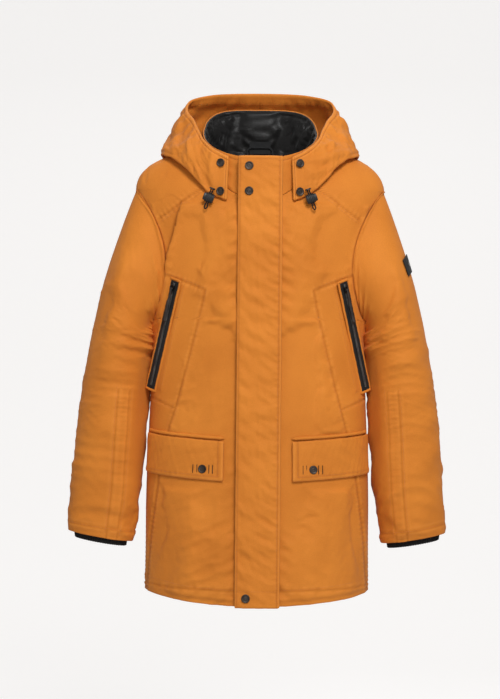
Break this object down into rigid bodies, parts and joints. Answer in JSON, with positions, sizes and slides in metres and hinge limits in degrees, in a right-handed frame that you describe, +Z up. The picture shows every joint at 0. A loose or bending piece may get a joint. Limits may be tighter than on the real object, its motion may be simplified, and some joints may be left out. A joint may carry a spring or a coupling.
{
  "type": "hooded parka coat",
  "caption": "Mid-thigh padded winter parka with detachable hood, zip front under a snapped storm flap, zipped chest pockets and flapped cargo pockets.",
  "frame": {"origin": "inner top edge of the hanger loop inside the back neck, where a coat hook carries the coat", "axes": "+Z up, +X towards the wearer's left, +Y towards the coat's back"},
  "size_m": [0.772, 0.3556, 1.0474],
  "materials": {
    "shell_cloth": "tight plain-woven cotton and polyamide cloth, matt",
    "lining_cloth": "thin black polyamide lining, slight gloss",
    "wadding": "lofted polyester wadding",
    "label_tape": "woven tape",
    "zip_tape": "woven zip tape",
    "zip_metal": "dark gunmetal, satin",
    "snap_metal": "dark gunmetal, brushed",
    "pull_rubber": "matt moulded rubber on cord",
    "pocket_cloth": "brushed pocketing",
    "rib_knit": "rib-knitted cuff",
    "badge_rubber": "soft black patch",
    "elastic_cord": "braided elastic cord",
    "lock_plastic": "black acetal"
  },
  "bodies": {
    "coat": {"left_front_panel": "shell_cloth", "right_front_panel": "shell_cloth", "back_panel": "shell_cloth", "back_yoke": "shell_cloth", "left_yoke": "shell_cloth", "right_yoke": "shell_cloth", "left_sleeve_cap": "shell_cloth", "right_sleeve_cap": "shell_cloth", "hem_facing": "shell_cloth", "collar_shell": "shell_cloth", "pocket_welts": "shell_cloth", "left_front_lining": "lining_cloth", "right_front_lining": "lining_cloth", "back_lining": "lining_cloth", "collar_lining": "lining_cloth", "body_wadding": "wadding", "collar_wadding": "wadding", "neck_label": "label_tape", "hanger_loop": "label_tape", "main_zip_tapes": "zip_tape", "left_chest_zip": "zip_tape", "right_chest_zip": "zip_tape", "main_zip_teeth": "zip_metal", "front_snap_studs": "snap_metal", "pocket_snap_studs": "snap_metal", "hood_snap_studs": "snap_metal", "chest_pocket_bags": "pocket_cloth", "cargo_pocket_bags": "pocket_cloth", "sleeve_badge": "badge_rubber"},
    "storm_flap": {"storm_flap": "shell_cloth", "storm_flap_snap_caps": "snap_metal"},
    "left_pocket_flap": {"left_pocket_flap": "shell_cloth", "left_flap_snap_cap": "snap_metal"},
    "right_pocket_flap": {"right_pocket_flap": "shell_cloth", "right_flap_snap_cap": "snap_metal"},
    "main_slider": {"main_slider": "zip_metal", "main_pull": "zip_metal"},
    "left_chest_slider": {"left_chest_slider": "zip_metal"},
    "right_chest_slider": {"right_chest_slider": "zip_metal"},
    "left_chest_pull": {"left_chest_pull": "pull_rubber"},
    "right_chest_pull": {"right_chest_pull": "pull_rubber"},
    "left_sleeve": {"left_sleeve": "shell_cloth", "left_sleeve_lining": "lining_cloth", "left_rib_cuff": "rib_knit"},
    "right_sleeve": {"right_sleeve": "shell_cloth", "right_sleeve_lining": "lining_cloth", "right_rib_cuff": "rib_knit"},
    "hood": {"hood_shell": "shell_cloth", "hood_neck_panel": "shell_cloth", "hood_lining": "shell_cloth", "hood_snap_caps": "snap_metal", "hood_eyelets": "snap_metal", "left_drawcord": "elastic_cord", "right_drawcord": "elastic_cord"},
    "left_cord_lock": {"left_cord_lock": "lock_plastic"},
    "right_cord_lock": {"right_cord_lock": "lock_plastic"},
    "left_lock_button": {"left_lock_button": "lock_plastic"},
    "right_lock_button": {"right_lock_button": "lock_plastic"}
  },
  "joints": [
    {"name": "storm_flap_opens", "type": "hinge", "parent": "coat", "child": "storm_flap", "pos_m": [0.043, -0.19374, -0.5], "axis": [0, 0.0384, 0.9993], "range_deg": [0, 120]},
    {"name": "main_zip_slides", "type": "slide", "parent": "coat", "child": "main_slider", "axis": [0, -0.0384, -0.9993], "range_m": [0, 0.8]},
    {"name": "left_pocket_flap_lifts", "type": "hinge", "parent": "coat", "child": "left_pocket_flap", "pos_m": [0.16793, -0.14852, -0.59689], "axis": [-0.8403, -0.538, -0.0662], "range_deg": [0, 90]},
    {"name": "right_pocket_flap_lifts", "type": "hinge", "parent": "coat", "child": "right_pocket_flap", "pos_m": [-0.16793, -0.14852, -0.59689], "axis": [-0.8403, 0.538, 0.0662], "range_deg": [0, 90]},
    {"name": "left_chest_zip_slides", "type": "slide", "parent": "coat", "child": "left_chest_slider", "axis": [0.2222, 0.2291, -0.9477], "range_m": [0, 0.185]},
    {"name": "left_chest_pull_swings", "type": "hinge", "parent": "left_chest_slider", "child": "left_chest_pull", "pos_m": [0.17576, -0.14925, -0.29873], "axis": [-0.7444, -0.5879, -0.3166], "range_deg": [0, 150]},
    {"name": "right_chest_zip_slides", "type": "slide", "parent": "coat", "child": "right_chest_slider", "axis": [-0.2222, 0.2291, -0.9477], "range_m": [0, 0.185]},
    {"name": "right_chest_pull_swings", "type": "hinge", "parent": "right_chest_slider", "child": "right_chest_pull", "pos_m": [-0.17576, -0.14925, -0.29873], "axis": [-0.7444, 0.5879, 0.3166], "range_deg": [0, 150]},
    {"name": "left_sleeve_raises", "type": "hinge", "parent": "coat", "child": "left_sleeve", "pos_m": [0.292, -0.062, -0.45], "axis": [0, -1, 0], "range_deg": [0, 40]},
    {"name": "right_sleeve_raises", "type": "hinge", "parent": "coat", "child": "right_sleeve", "pos_m": [-0.292, -0.062, -0.45], "axis": [0, 1, 0], "range_deg": [0, 40]},
    {"name": "hood_unsnaps", "type": "slide", "parent": "coat", "child": "hood", "axis": [0, 0, 1], "range_m": [0, 0.25]},
    {"name": "left_cord_lock_slides", "type": "slide", "parent": "hood", "child": "left_cord_lock", "axis": [0.342, 0, -0.9397], "range_m": [0, 0.005]},
    {"name": "left_lock_button_presses", "type": "slide", "parent": "left_cord_lock", "child": "left_lock_button", "axis": [-0.9397, 0, -0.342], "range_m": [0, 0.003], "stiffness_N_per_m": 600},
    {"name": "right_cord_lock_slides", "type": "slide", "parent": "hood", "child": "right_cord_lock", "axis": [-0.342, 0, -0.9397], "range_m": [0, 0.005]},
    {"name": "right_lock_button_presses", "type": "slide", "parent": "right_cord_lock", "child": "right_lock_button", "axis": [0.9397, 0, -0.342], "range_m": [0, 0.003], "stiffness_N_per_m": 600}
  ]
}
